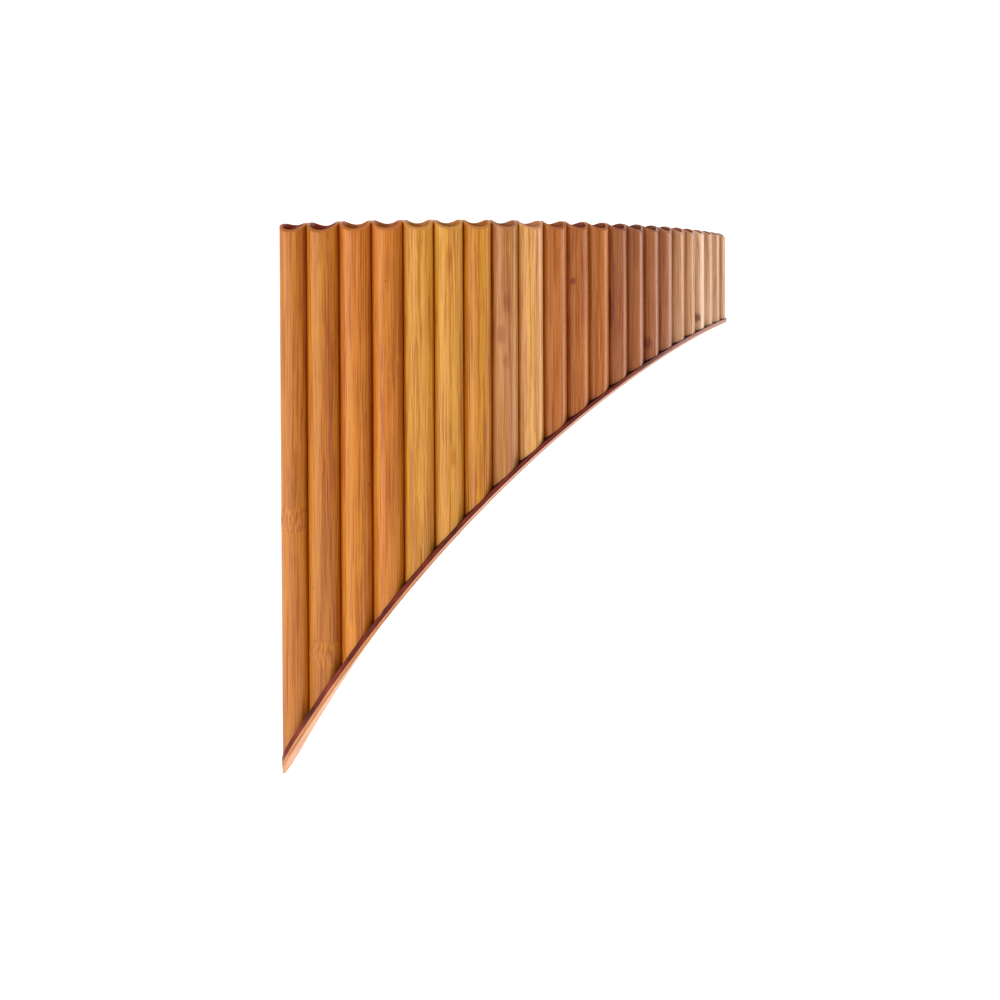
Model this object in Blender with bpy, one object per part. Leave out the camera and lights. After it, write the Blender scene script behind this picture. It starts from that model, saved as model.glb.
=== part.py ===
"""Curved pan flute (nai) of graded bamboo tubes, standing upright on its lowest point.

Lengths are in metres. +Z is up, the mouths are at the top, the convex side that the audience sees
faces -Y, the longest tube is at -X and the shortest at +X. The tubes stand side by side along an arc
whose centre lies behind them, on the player's side. Angles run along that arc, from 0 in its middle.
"""

import math

import bmesh
import bpy

# ---- The row ---------------------------------------------------------------------------------------
TUBE_COUNT = 22
ARC_RADIUS = 0.1945        # through the tube centres
GLUE_GAP = 0.0003          # between two pieces that are glued face to face
FLAT_DEPTH = 0.00012       # planed off each tube where it meets its neighbour

# ---- Tubes -----------------------------------------------------------------------------------------
FIRST_DIAMETER = 0.0142    # the lowest tube is cut from thinner cane than the second
SECOND_DIAMETER = 0.0165
LAST_DIAMETER = 0.0081
FIRST_WALL = 0.0016
LAST_WALL = 0.00105
OUTER_SIDES = 28
BORE_SIDES = 20

# ---- Foot line: the curve that the slanted feet and the base strip follow -----------------------------
FIRST_LENGTH = 0.2555      # highest crest to foot, on the axis of the first tube
LAST_LENGTH = 0.0463       # the same on the last tube
FIRST_SLOPE = 1.575        # rise of the foot line for each unit along the arc, at the first tube
LAST_SLOPE = 0.178         # the same at the last tube

# ---- Mouths: one rounded crest, filed along the whole row ---------------------------------------------
CREST_SETBACK = 0.35       # crest behind the tube centre, in tube radii
FRONT_FALL = 0.72          # fall from crest to the front of a tube, in tube radii
BACK_FALL = 0.40           # fall from crest to the back of a tube, in tube radii
CREST_STEPS = 6            # facets on each side of the crest
BASS_DROP = 0.0015         # the crest is filed lower towards both ends of the row
TREBLE_DROP = 0.0012

# ---- Stoppers ----------------------------------------------------------------------------------------
FIRST_TAIL = 0.0410        # first tube's length below the top of its cork
CORK_CLEARANCE = 0.0003    # between cork and bore
CORK_TO_FOOT = 0.0015      # between a cork and the highest point of the slanted foot
END_CORRECTION = 0.3       # sounding length past the mouth, in bores
MAJOR_STEPS = (2, 2, 1, 2, 2, 2, 1)    # semitones between the tubes, over and over

# ---- Base strip: a dark and a light lamination, bent and twisted along the feet ------------------------
STRIP_OVERHANG = 0.0009    # past the front and the back of the tubes
STRIP_END_TRIM = 0.0004    # the ends stop this far short of the end tubes' outer sides
STRIP_END_STEPS = 4        # stations that round each end in plan
DARK_THICKNESS_BASS = 0.0022
DARK_THICKNESS_TREBLE = 0.0011
LIGHT_THICKNESS_BASS = 0.0014
LIGHT_THICKNESS_TREBLE = 0.0006
LIGHT_CHAMFER = 0.0003     # along the two lower edges

# ---- Cutters -----------------------------------------------------------------------------------------
CUTTER_MARGIN = 0.0040     # how far a cutter reaches past what it cuts

BAMBOO_TONES = {
    "bamboo_honey": (0.60, 0.27, 0.065),
    "bamboo_amber": (0.50, 0.19, 0.045),
    "bamboo_tan": (0.42, 0.18, 0.075),
    "bamboo_pale": (0.62, 0.36, 0.17),
}
TUBE_TONES = (
    "bamboo_honey", "bamboo_honey", "bamboo_amber", "bamboo_amber", "bamboo_honey", "bamboo_honey",
    "bamboo_honey", "bamboo_tan", "bamboo_honey", "bamboo_amber", "bamboo_amber", "bamboo_amber",
    "bamboo_tan", "bamboo_tan", "bamboo_tan", "bamboo_tan", "bamboo_pale", "bamboo_pale",
    "bamboo_pale", "bamboo_pale", "bamboo_pale", "bamboo_pale",
)


# ---- Laws of the row ---------------------------------------------------------------------------------
def diameter(number):
    """Outer diameter of a tube: evenly graded from the second to the last."""
    if number == 1:
        return FIRST_DIAMETER
    share = (number - 2) / (TUBE_COUNT - 2)
    return SECOND_DIAMETER + (LAST_DIAMETER - SECOND_DIAMETER) * share


def bore_radius(number):
    share = (number - 1) / (TUBE_COUNT - 1)
    return diameter(number) / 2 - (FIRST_WALL + (LAST_WALL - FIRST_WALL) * share)


def flat_distance(number):
    """From a tube's centre to the middle of the glue line beside it."""
    return diameter(number) / 2 - FLAT_DEPTH


def row_angles():
    """Angle of every tube and of every glue line, centred so that the row is symmetric about 0."""
    tubes = [0.0]
    joints = []
    for number in range(1, TUBE_COUNT):
        chord = flat_distance(number) + flat_distance(number + 1)
        step = 2 * math.asin(chord / (2 * ARC_RADIUS))
        joints.append(tubes[-1] + step * flat_distance(number) / chord)
        tubes.append(tubes[-1] + step)
    first_edge = -diameter(1) / 2 / ARC_RADIUS
    last_edge = tubes[-1] + diameter(TUBE_COUNT) / 2 / ARC_RADIUS
    middle = (first_edge + last_edge) / 2
    shift = [angle - middle for angle in tubes]
    return shift, [first_edge - middle] + [a - middle for a in joints] + [last_edge - middle]


TUBE_ANGLES, JOINT_ANGLES = row_angles()
ROW_LENGTH = ARC_RADIUS * (TUBE_ANGLES[-1] - TUBE_ANGLES[0])


def foot_depth(angle):
    """Depth of the feet below the crest: one cubic, set by its depth and slope at the two end tubes."""
    t = (angle - TUBE_ANGLES[0]) * ARC_RADIUS / ROW_LENGTH
    return (
        FIRST_LENGTH * (2 * t ** 3 - 3 * t ** 2 + 1) + LAST_LENGTH * (3 * t ** 2 - 2 * t ** 3)
        - FIRST_SLOPE * ROW_LENGTH * (t ** 3 - 2 * t ** 2 + t)
        - LAST_SLOPE * ROW_LENGTH * (t ** 3 - t ** 2))


def foot_slope(angle):
    """Rise of the foot line for each unit along the arc, towards the treble."""
    t = (angle - TUBE_ANGLES[0]) * ARC_RADIUS / ROW_LENGTH
    return (
        (FIRST_LENGTH - LAST_LENGTH) * 6 * (t - t ** 2) / ROW_LENGTH
        + FIRST_SLOPE * (3 * t ** 2 - 4 * t + 1) + LAST_SLOPE * (3 * t ** 2 - 2 * t))


def half_width(angle):
    """Tube radius under a straight grading, which the mouths and the strip follow along the arc."""
    share = (angle - TUBE_ANGLES[1]) / (TUBE_ANGLES[-1] - TUBE_ANGLES[1])
    return (SECOND_DIAMETER + (LAST_DIAMETER - SECOND_DIAMETER) * share) / 2


def crest_line(angle):
    """Height of the crest along the row: level in the middle, lower by a cubic towards the ends."""
    share = max(-1.0, min(1.0, angle / TUBE_ANGLES[-1]))
    return (BASS_DROP if share < 0 else -TREBLE_DROP) * share ** 3


def crest_height(offset, radius):
    """Height of the filed mouth at a distance behind the tube centre: two curves from one crest."""
    from_crest = offset / radius - CREST_SETBACK
    if from_crest < 0:
        return -FRONT_FALL * radius * (-from_crest / (1 + CREST_SETBACK)) ** 1.6
    return -BACK_FALL * radius * (from_crest / (1 - CREST_SETBACK)) ** 2


def blank_bottom(number):
    """Lower end of a tube's blank, clear of the slanted foot that is cut from it."""
    angle = TUBE_ANGLES[number - 1]
    return -foot_depth(angle) - diameter(number) * foot_slope(angle) - CUTTER_MARGIN


def arc_point(angle, offset, height):
    """A point on the radial line at an angle, offset behind the tube centres."""
    reach = ARC_RADIUS - offset
    return (reach * math.sin(angle), ARC_RADIUS - reach * math.cos(angle), height)


def speaking_length(number):
    """Air column from crest to cork: the first is what its tube leaves, the rest follow the scale."""
    first = FIRST_LENGTH + crest_line(TUBE_ANGLES[0]) - FIRST_TAIL + END_CORRECTION * 2 * bore_radius(1)
    semitones = sum(MAJOR_STEPS[k % len(MAJOR_STEPS)] for k in range(number - 1))
    return first / 2 ** (semitones / 12) - END_CORRECTION * 2 * bore_radius(number)


# ---- Tools -------------------------------------------------------------------------------------------
def collection(name):
    group = bpy.data.collections.new(name)
    bpy.context.scene.collection.children.link(group)
    return group


def material(name, colour, roughness):
    made = bpy.data.materials.get(name)
    if made is None:
        made = bpy.data.materials.new(name)
        made.use_nodes = True
        shader = made.node_tree.nodes["Principled BSDF"]
        shader.inputs["Base Color"].default_value = (*colour, 1.0)
        shader.inputs["Roughness"].default_value = roughness
        shader.inputs["Metallic"].default_value = 0.0
        made.diffuse_color = (*colour, 1.0)
    return made


def add_object(name, mesh, group, parent):
    obj = bpy.data.objects.new(name, mesh)
    group.objects.link(obj)
    obj.parent = parent
    return obj


def loft(name, sections, group, parent):
    """A closed solid through matching loops of points, with flat end caps."""
    mesh = bpy.data.meshes.new(name)
    shape = bmesh.new()
    loops = [[shape.verts.new(point) for point in section] for section in sections]
    count = len(loops[0])
    for near, far in zip(loops, loops[1:]):
        for k in range(count):
            shape.faces.new((near[k], near[(k + 1) % count], far[(k + 1) % count], far[k]))
    shape.faces.new(loops[0])
    shape.faces.new(reversed(loops[-1]))
    bmesh.ops.triangulate(shape, faces=shape.faces)
    bmesh.ops.recalc_face_normals(shape, faces=shape.faces)
    shape.to_mesh(mesh)
    shape.free()
    return add_object(name, mesh, group, parent)


def cut(obj, cutter):
    step = obj.modifiers.new(cutter.name, "BOOLEAN")
    step.operation = "DIFFERENCE"
    step.solver = "EXACT"
    step.object = cutter


def as_cutter(obj):
    obj.hide_render = True
    obj.display_type = "WIRE"
    return obj


# ---- Cutters that shape the whole row ------------------------------------------------------------------
def mouth_cutter(group, parent):
    """Everything above the filed crest, in straight runs from glue line to glue line."""
    angles = list(JOINT_ANGLES)
    reach = CUTTER_MARGIN / ARC_RADIUS
    angles[0] -= reach
    angles[-1] += reach
    sections = []
    for angle in angles:
        radius = half_width(angle)
        edge = 1 + CUTTER_MARGIN / radius
        front = [-edge + (CREST_SETBACK + edge) * k / CREST_STEPS for k in range(CREST_STEPS)]
        back = [CREST_SETBACK + (edge - CREST_SETBACK) * k / CREST_STEPS for k in range(CREST_STEPS + 1)]
        offsets = [share * radius for share in front + back]
        crest = crest_line(angle)
        loop = [arc_point(angle, offset, crest + crest_height(offset, radius)) for offset in offsets]
        loop.append(arc_point(angle, offsets[-1], CUTTER_MARGIN))
        loop.append(arc_point(angle, offsets[0], CUTTER_MARGIN))
        sections.append(loop)
    return as_cutter(loft("mouth_cutter", sections, group, parent))


def strip_stations():
    """Angles along the strip and its half width there, with ends rounded about the end tubes."""
    stations = [(angle, 1.0) for angle in sorted(JOINT_ANGLES[1:-1] + TUBE_ANGLES)]
    for centre, number, side in ((TUBE_ANGLES[0], 1, -1), (TUBE_ANGLES[-1], TUBE_COUNT, 1)):
        radius = diameter(number) / 2
        for k in range(1, STRIP_END_STEPS + 1):
            away = (radius - STRIP_END_TRIM) * math.sin(math.pi / 2 * k / STRIP_END_STEPS)
            narrowing = math.sqrt(1 - (away / radius) ** 2)
            stations.append((centre + side * away / ARC_RADIUS, narrowing))
    stations.sort()
    return [(angle, share * (half_width(angle) + STRIP_OVERHANG)) for angle, share in stations]


def foot_cutter(group, parent):
    """Everything below the foot line, with the strip's own stations so that both surfaces match."""
    angles = [angle for angle, width in strip_stations()]
    reach = CUTTER_MARGIN / ARC_RADIUS
    angles = [angles[0] - reach] + angles + [angles[-1] + reach]
    floor = blank_bottom(1) - CUTTER_MARGIN
    sections = []
    for angle in angles:
        width = half_width(angle) + CUTTER_MARGIN
        foot = -foot_depth(angle)
        sections.append([
            arc_point(angle, -width, foot), arc_point(angle, width, foot),
            arc_point(angle, width, floor), arc_point(angle, -width, floor)])
    return as_cutter(loft("foot_cutter", sections, group, parent))


# ---- Pieces ------------------------------------------------------------------------------------------
def tube_outline(number):
    """Cross-section of a tube: a circle with a glue flat towards each neighbour."""
    radius = diameter(number) / 2
    half_flat = math.acos((flat_distance(number) - GLUE_GAP / 2) / radius)
    flats = []
    if number < TUBE_COUNT:
        flats.append((TUBE_ANGLES[number] - TUBE_ANGLES[number - 1]) / 2)
    if number > 1:
        flats.append(math.pi - (TUBE_ANGLES[number - 1] - TUBE_ANGLES[number - 2]) / 2)
    turns = []
    for flat in flats:
        turns += [flat - half_flat, flat + half_flat]
    for k in range(OUTER_SIDES):
        turn = 2 * math.pi * k / OUTER_SIDES - math.pi / 2
        clear = min((abs(math.remainder(turn - flat, 2 * math.pi)) for flat in flats), default=math.pi)
        if clear > half_flat + math.pi / (2 * OUTER_SIDES):
            turns.append(turn)
    turns = sorted(turn % (2 * math.pi) for turn in turns)
    return [(radius * math.cos(turn), radius * math.sin(turn)) for turn in turns]


def bore_outline(number):
    turns = [2 * math.pi * k / BORE_SIDES for k in range(BORE_SIDES)]
    radius = bore_radius(number)
    return [(radius * math.cos(turn), radius * math.sin(turn)) for turn in turns]


def add_loop(curve, points):
    spline = curve.splines.new("POLY")
    spline.points.add(len(points) - 1)
    for point, (x, y) in zip(spline.points, points):
        point.co = (x, y, 0.0, 1.0)
    spline.use_cyclic_u = True


def extruded_tube(name, number, length):
    """A length of cane as a filled flat outline with its bore, extruded and made a welded mesh."""
    curve = bpy.data.curves.new(name, "CURVE")
    curve.dimensions = "2D"
    curve.fill_mode = "BOTH"
    curve.extrude = length / 2
    add_loop(curve, tube_outline(number))
    add_loop(curve, bore_outline(number))
    holder = bpy.data.objects.new(name + "_outline", curve)
    bpy.context.scene.collection.objects.link(holder)
    bpy.context.view_layer.update()
    evaluated = holder.evaluated_get(bpy.context.evaluated_depsgraph_get())
    mesh = bpy.data.meshes.new_from_object(evaluated)
    bpy.data.objects.remove(holder)
    shape = bmesh.new()
    shape.from_mesh(mesh)
    bmesh.ops.remove_doubles(shape, verts=shape.verts, dist=0.00001)
    bmesh.ops.recalc_face_normals(shape, faces=shape.faces)
    shape.to_mesh(mesh)
    shape.free()
    mesh.name = name
    return mesh


def make_tube(number, cutters, group, parent):
    """One bamboo tube: a blank longer than needed, then filed at the mouth and cut at the foot."""
    name = f"tube_{number:02d}"
    angle = TUBE_ANGLES[number - 1]
    top = CUTTER_MARGIN / 2
    bottom = blank_bottom(number)
    tube = add_object(name, extruded_tube(name, number, top - bottom), group, parent)
    tube.location = arc_point(angle, 0.0, (top + bottom) / 2)
    tube.rotation_euler = (0.0, 0.0, angle)
    for cutter in cutters:
        cut(tube, cutter)
    tone = TUBE_TONES[(number - 1) % len(TUBE_TONES)]
    tube.data.materials.clear()
    tube.data.materials.append(material(tone, BAMBOO_TONES[tone], 0.38))
    tube.data.shade_smooth()
    tube.data.set_sharp_from_angle(angle=math.radians(30))
    return tube


def make_cork(number, group, parent):
    """One stopper: its top sets the note, its underside stays above the slanted foot."""
    angle = TUBE_ANGLES[number - 1]
    bore = bore_radius(number)
    top = crest_line(angle) - speaking_length(number)
    bottom = -foot_depth(angle) + bore * foot_slope(angle - bore / ARC_RADIUS) + CORK_TO_FOOT
    mesh = bpy.data.meshes.new(f"cork_{number:02d}")
    shape = bmesh.new()
    bmesh.ops.create_cone(
        shape, cap_ends=True, segments=BORE_SIDES, radius1=bore - CORK_CLEARANCE,
        radius2=bore - CORK_CLEARANCE, depth=top - bottom)
    shape.to_mesh(mesh)
    shape.free()
    cork = add_object(mesh.name, mesh, group, parent)
    cork.location = arc_point(angle, 0.0, (top + bottom) / 2)
    cork.rotation_euler = (0.0, 0.0, angle)
    mesh.materials.append(material("cork", (0.42, 0.24, 0.12), 0.85))
    return cork


def make_strip(name, top, thick_bass, thick_treble, chamfer, tint, group, parent):
    """One lamination: its top lies a given depth under the foot line, measured square to it."""
    stations = strip_stations()
    first, last = stations[0][0], stations[-1][0]
    sections = []
    for angle, width in stations:
        share = (angle - first) / (last - first)
        stretch = math.hypot(1.0, foot_slope(angle))
        high = -foot_depth(angle) - top(share) * stretch
        low = high - (thick_bass + (thick_treble - thick_bass) * share) * stretch
        loop = [arc_point(angle, -width, high), arc_point(angle, width, high)]
        if chamfer:
            loop.append(arc_point(angle, width, low + chamfer * stretch))
        loop.append(arc_point(angle, width - chamfer, low))
        loop.append(arc_point(angle, chamfer - width, low))
        if chamfer:
            loop.append(arc_point(angle, -width, low + chamfer * stretch))
        sections.append(loop)
    strip = loft(name, sections, group, parent)
    strip.data.materials.append(tint)
    return strip


def under_tubes(share):
    """Depth of the dark strip's top: the glue line only."""
    return GLUE_GAP


def under_dark_strip(share):
    """Depth of the light strip's top: two glue lines and the dark strip between them."""
    return 2 * GLUE_GAP + DARK_THICKNESS_BASS + (DARK_THICKNESS_TREBLE - DARK_THICKNESS_BASS) * share


def stand_on_origin(parts, frame):
    """Put the middle of the whole flute's underside box at the origin."""
    bpy.context.view_layer.update()
    graph = bpy.context.evaluated_depsgraph_get()
    corners = []
    for part in parts:
        evaluated = part.evaluated_get(graph)
        corners += [evaluated.matrix_world @ vertex.co for vertex in evaluated.data.vertices]
    low = [min(corner[axis] for corner in corners) for axis in range(3)]
    high = [max(corner[axis] for corner in corners) for axis in range(3)]
    frame.location = (-(low[0] + high[0]) / 2, -(low[1] + high[1]) / 2, -low[2])
    bpy.context.view_layer.update()


def main():
    for obj in list(bpy.data.objects):
        bpy.data.objects.remove(obj, do_unlink=True)
    parts = collection("pan_flute")
    tools = collection("cutters")
    frame = bpy.data.objects.new("flute_frame", None)
    parts.objects.link(frame)

    cutters = [mouth_cutter(tools, frame), foot_cutter(tools, frame)]
    pieces = []
    for number in range(1, TUBE_COUNT + 1):
        pieces.append(make_tube(number, cutters, parts, frame))
        pieces.append(make_cork(number, parts, frame))
    pieces.append(make_strip(
        "base_dark_strip", under_tubes, DARK_THICKNESS_BASS, DARK_THICKNESS_TREBLE, 0.0,
        material("mahogany", (0.20, 0.035, 0.025), 0.40), parts, frame))
    pieces.append(make_strip(
        "base_light_strip", under_dark_strip, LIGHT_THICKNESS_BASS, LIGHT_THICKNESS_TREBLE,
        LIGHT_CHAMFER, material("maple", (0.80, 0.45, 0.22), 0.45), parts, frame))
    stand_on_origin(pieces, frame)


main()
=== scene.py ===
"""Curved pan flute of 22 bamboo pipes: the finished instrument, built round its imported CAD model.

The flute stands on the low tip of its base strip. Its convex side, which the audience sees, faces -Y,
the longest pipe is at -X and the shortest at +X. All lengths are in metres.
"""

import math

import bmesh
import bpy
import numpy as np
from mathutils import Matrix, Vector


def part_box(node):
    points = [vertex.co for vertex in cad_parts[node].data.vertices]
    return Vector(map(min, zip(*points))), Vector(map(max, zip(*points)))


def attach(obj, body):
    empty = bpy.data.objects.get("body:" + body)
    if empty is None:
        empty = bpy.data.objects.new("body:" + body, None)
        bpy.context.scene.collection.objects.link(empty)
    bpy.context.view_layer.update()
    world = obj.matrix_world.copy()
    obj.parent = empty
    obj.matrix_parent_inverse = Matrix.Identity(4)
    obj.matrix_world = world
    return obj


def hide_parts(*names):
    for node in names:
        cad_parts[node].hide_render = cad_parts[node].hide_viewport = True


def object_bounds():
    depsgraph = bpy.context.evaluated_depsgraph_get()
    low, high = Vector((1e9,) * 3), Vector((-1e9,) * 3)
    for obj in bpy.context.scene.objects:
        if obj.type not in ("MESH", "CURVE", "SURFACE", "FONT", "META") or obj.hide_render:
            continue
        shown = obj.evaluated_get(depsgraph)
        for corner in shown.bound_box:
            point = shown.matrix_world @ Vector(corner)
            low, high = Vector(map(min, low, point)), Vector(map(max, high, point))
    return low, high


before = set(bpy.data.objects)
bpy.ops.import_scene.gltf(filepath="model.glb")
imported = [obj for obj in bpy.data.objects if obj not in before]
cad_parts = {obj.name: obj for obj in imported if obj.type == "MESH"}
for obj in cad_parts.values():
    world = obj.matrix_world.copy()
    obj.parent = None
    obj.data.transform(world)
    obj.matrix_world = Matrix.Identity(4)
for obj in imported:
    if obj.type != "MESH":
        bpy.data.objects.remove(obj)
cad_low, cad_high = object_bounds()


# ---- Studio ----------------------------------------------------------------------------------------
# A white paper sweep, laid flat under the flute and curved up into a wall behind it, with a large soft
# lamp at the left, a narrower one at the right, one overhead, and pale light from all round. Past the
# paper's edges the backdrop is plain white.
SWEEP_FRONT = -4.0
SWEEP_BACK = 3.0
SWEEP_BEND = 1.5
SWEEP_TOP = 5.0
SWEEP_WIDTH = 14.0
CAMERA_PLACE = (-0.6324, -1.3793, 0.1775)
CAMERA_HEADING = math.radians(-24.122)
CAMERA_PITCH = math.radians(-1.622)
CAMERA_ROLL = math.radians(-0.25)
CAMERA_LENS = 108.18
PAPER = (0.93, 0.93, 0.925)
PAPER_GLOW = 0.75                      # the paper is lit from behind too
ROOM_LIGHT = 0.36


def new_material(name):
    """An empty node tree with its Principled shader, ready for a finish."""
    made = bpy.data.materials.new(name)
    made.use_nodes = True
    tree = made.node_tree
    return made, tree, tree.nodes["Principled BSDF"]


def put(tree, kind, settings=None, **inputs):
    """Adds one node. Settings are its own values; inputs are numbers, or sockets to join.

    An input is named, or is i and its place in the list where its name is used twice.
    """
    node = tree.nodes.new(kind)
    for key, value in (settings or {}).items():
        setattr(node, key, value)
    for key, value in inputs.items():
        socket = node.inputs[int(key[1:])] if key[0] == "i" and key[1:].isdigit() else node.inputs[key]
        if isinstance(value, bpy.types.NodeSocket):
            tree.links.new(value, socket)
        else:
            socket.default_value = value
    return node


def surface(name, points, wrap_rows=False, wrap_round=False, uv=None):
    """A mesh through a grid of points, rows by columns, joined round either way where asked."""
    rows, columns = points.shape[:2]
    row = np.arange(rows if wrap_rows else rows - 1)[:, None]
    column = np.arange(columns if wrap_round else columns - 1)[None, :]
    next_row, next_column = (row + 1) % rows, (column + 1) % columns
    corners = np.stack([
        row * columns + column, row * columns + next_column,
        next_row * columns + next_column, next_row * columns + column], axis=-1).reshape(-1, 4)
    mesh = bpy.data.meshes.new(name)
    mesh.from_pydata(points.reshape(-1, 3), [], corners.tolist())
    if uv is not None:
        layer = mesh.uv_layers.new(name="along")
        ends = np.stack([
            np.stack([row + 0 * column, column + 0 * row], -1),
            np.stack([row + 0 * column, column + 1 + 0 * row], -1),
            np.stack([row + 1 + 0 * column, column + 1 + 0 * row], -1),
            np.stack([row + 1 + 0 * column, column + 0 * row], -1)], axis=2).reshape(-1, 2)
        layer.data.foreach_set("uv", uv[ends[:, 0], ends[:, 1]].astype(np.float32).ravel())
    mesh.shade_smooth()
    piece = bpy.data.objects.new(name, mesh)
    bpy.context.scene.collection.objects.link(piece)
    return piece


def sweep_points():
    """Across by along: flat, then a quarter circle, then straight up."""
    quarter = np.linspace(0, math.pi / 2, 25)
    along = np.concatenate([
        [SWEEP_FRONT], SWEEP_BACK + SWEEP_BEND * np.sin(quarter), [SWEEP_BACK + SWEEP_BEND]])
    up = np.concatenate([[0.0], SWEEP_BEND * (1 - np.cos(quarter)), [SWEEP_TOP]])
    across = np.array([-SWEEP_WIDTH / 2, SWEEP_WIDTH / 2])
    turned_x = across[None, :] * math.cos(CAMERA_HEADING) - along[:, None] * math.sin(CAMERA_HEADING)
    turned_y = across[None, :] * math.sin(CAMERA_HEADING) + along[:, None] * math.cos(CAMERA_HEADING)
    return np.stack([turned_x, turned_y, np.broadcast_to(up[:, None], turned_x.shape)], axis=-1)


sweep = surface("paper_sweep", sweep_points()[::-1])
paper, tree, shader = new_material("white_paper")
shader.inputs["Base Color"].default_value = (*PAPER, 1.0)
shader.inputs["Roughness"].default_value = 0.9
shader.inputs["Specular IOR Level"].default_value = 0.1
shader.inputs["Emission Color"].default_value = (*PAPER, 1.0)
shader.inputs["Emission Strength"].default_value = PAPER_GLOW
sweep.data.materials.append(paper)

world = bpy.data.worlds.new("studio_light")
bpy.context.scene.world = world
world.use_nodes = True
room = world.node_tree.nodes["Background"]
room.inputs["Color"].default_value = (1.0, 0.995, 0.985, 1.0)
room.inputs["Strength"].default_value = ROOM_LIGHT
white = put(world.node_tree, "ShaderNodeBackground", Strength=1.0)
white.inputs["Color"].default_value = (1.0, 1.0, 1.0, 1.0)
seen = put(world.node_tree, "ShaderNodeLightPath").outputs["Is Camera Ray"]
either = put(
    world.node_tree, "ShaderNodeMixShader", i0=seen, i1=room.outputs["Background"],
    i2=white.outputs["Background"])
world.node_tree.links.new(either.outputs["Shader"], world.node_tree.nodes["World Output"].inputs["Surface"])


def softbox(name, azimuth, elevation, distance, width, height, watts, tint):
    """A rectangular lamp on a circle round the flute, aimed at its middle; azimuth 0 is in front."""
    light = bpy.data.lights.new(name, "AREA")
    light.shape = "RECTANGLE"
    light.size, light.size_y = width, height
    light.energy = watts
    light.color = tint
    lamp = bpy.data.objects.new(name, light)
    bpy.context.scene.collection.objects.link(lamp)
    around, up = math.radians(azimuth), math.radians(elevation)
    away = Vector((math.sin(around) * math.cos(up), -math.cos(around) * math.cos(up), math.sin(up)))
    lamp.location = (cad_low + cad_high) / 2 + distance * away
    lamp.rotation_euler = away.to_track_quat("Z", "Y").to_euler()
    return lamp


softbox("left_softbox", -80.0, 14.0, 1.7, 2.0, 2.0, 26.0, (1.0, 0.965, 0.90))
softbox("right_softbox", 74.0, 6.0, 1.8, 0.6, 1.5, 15.0, (1.0, 0.955, 0.97))
softbox("top_softbox", 10.0, 72.0, 2.0, 1.6, 1.6, 9.0, (1.0, 0.99, 0.98))

lens = bpy.data.cameras.new("studio_camera")
lens.lens = CAMERA_LENS
lens.sensor_width = 36.0
camera = bpy.data.objects.new("studio_camera", lens)
bpy.context.scene.collection.objects.link(camera)
camera.matrix_world = (
    Matrix.Translation(CAMERA_PLACE) @ Matrix.Rotation(CAMERA_HEADING, 4, "Z")
    @ Matrix.Rotation(math.pi / 2 + CAMERA_PITCH, 4, "X") @ Matrix.Rotation(CAMERA_ROLL, 4, "Z"))
bpy.context.scene.camera = camera
bpy.context.scene.view_settings.view_transform = "Standard"


# ---- Bamboo pipes ------------------------------------------------------------------------------------
# Twenty-two lengths of golden cane, graded in bore and length, glued side by side along an arc. The
# mouths are filed together to one rounded crest and the feet are sawn on the slant to sit on the base.
PIPE_COUNT = 22
ARC_RADIUS = 0.1945
ARC_SHIFT = (0.000675, -0.020542)      # from the front of the arc's circle to the model's origin
FLAT_DEPTH = 0.00012
FIRST_DIAMETER = 0.0142
SECOND_DIAMETER = 0.0165
LAST_DIAMETER = 0.0081
FIRST_WALL = 0.0016
LAST_WALL = 0.00105
FIRST_LENGTH = 0.2555
LAST_LENGTH = 0.0463
FIRST_SLOPE = 1.575
LAST_SLOPE = 0.178
CREST_SETBACK = 0.35                   # crest behind the pipe centres, in pipe radii
FRONT_FALL = 0.72                      # fall of the mouth from its crest to the front, in pipe radii
BACK_FALL = 0.40                       # and to the back
BASS_DROP = 0.0015                     # the crest is filed lower towards both ends of the row
TREBLE_DROP = 0.0012
HALF_GLUE = 0.00015
HAIR = 0.00001                         # what keeps two touching faces apart
PIPE_SANDING = 0.00006                 # taken off all round, which keeps the row inside its size
EDGE_ROUND = 0.00028
RIM_MARGIN = 0.0010                    # the even rows stop this far from the slanted foot and the mouth
SEAM_FROM = 0.80                       # how squarely a face looks at the next pipe where its seam starts
PIPE_COLUMNS = 96
ROW_SPACING = 0.0009
LEAST_ROWS = 8                         # on a pipe too short for even rows
FOOT_ROWS = 30
RIM_ROWS = 7
ROUND_STEPS = 5
BORE_ROWS = 14


def diameter(number):
    """Evenly graded from the second pipe to the last; the first is cut from thinner cane."""
    if number == 1:
        return FIRST_DIAMETER
    return SECOND_DIAMETER + (LAST_DIAMETER - SECOND_DIAMETER) * (number - 2) / (PIPE_COUNT - 2)


def wall(number):
    """Evenly thinner from the first pipe to the last."""
    return FIRST_WALL + (LAST_WALL - FIRST_WALL) * (number - 1) / (PIPE_COUNT - 1)


def flat_distance(number):
    """From a pipe's centre to the middle of the glue line beside it."""
    return diameter(number) / 2 - FLAT_DEPTH


def row_angles():
    """Angle of each pipe and of each glue line along the arc, with the whole row centred on 0."""
    chords = np.array([flat_distance(k) + flat_distance(k + 1) for k in range(1, PIPE_COUNT)])
    steps = 2 * np.arcsin(chords / (2 * ARC_RADIUS))
    pipes = np.concatenate([[0.0], np.cumsum(steps)])
    near_share = np.array([flat_distance(k) for k in range(1, PIPE_COUNT)]) / chords
    joints = pipes[:-1] + steps * near_share
    first_edge = -diameter(1) / 2 / ARC_RADIUS
    last_edge = pipes[-1] + diameter(PIPE_COUNT) / 2 / ARC_RADIUS
    middle = (first_edge + last_edge) / 2
    return pipes - middle, joints - middle


PIPE_ANGLES, JOINT_ANGLES = row_angles()
ROW_LENGTH = ARC_RADIUS * (PIPE_ANGLES[-1] - PIPE_ANGLES[0])


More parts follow.
